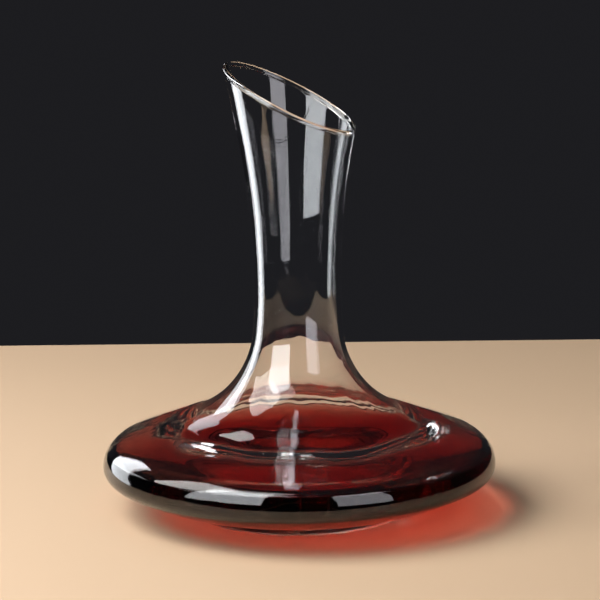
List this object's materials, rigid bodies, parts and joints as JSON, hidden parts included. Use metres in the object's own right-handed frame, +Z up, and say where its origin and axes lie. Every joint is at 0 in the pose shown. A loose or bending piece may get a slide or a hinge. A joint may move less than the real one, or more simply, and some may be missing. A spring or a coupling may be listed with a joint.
{
  "type": "wine decanter",
  "caption": "Blown glass wine decanter with a wide low belly, a slender neck flaring to a slanted mouth, and red wine standing in the belly.",
  "frame": {"origin": "on the axis of revolution, on the surface that the foot ring stands on", "axes": "+Z up along the axis; the high lip of the slanted mouth points to -X and the low pouring side to +X"},
  "size_m": [0.218, 0.218, 0.2489],
  "materials": {
    "clear_glass": "clear, fire-polished blown glass",
    "red_wine": "clear dark red liquid"
  },
  "bodies": {
    "root": {"glass_vessel": "clear_glass", "red_wine": "red_wine"}
  },
  "joints": []
}
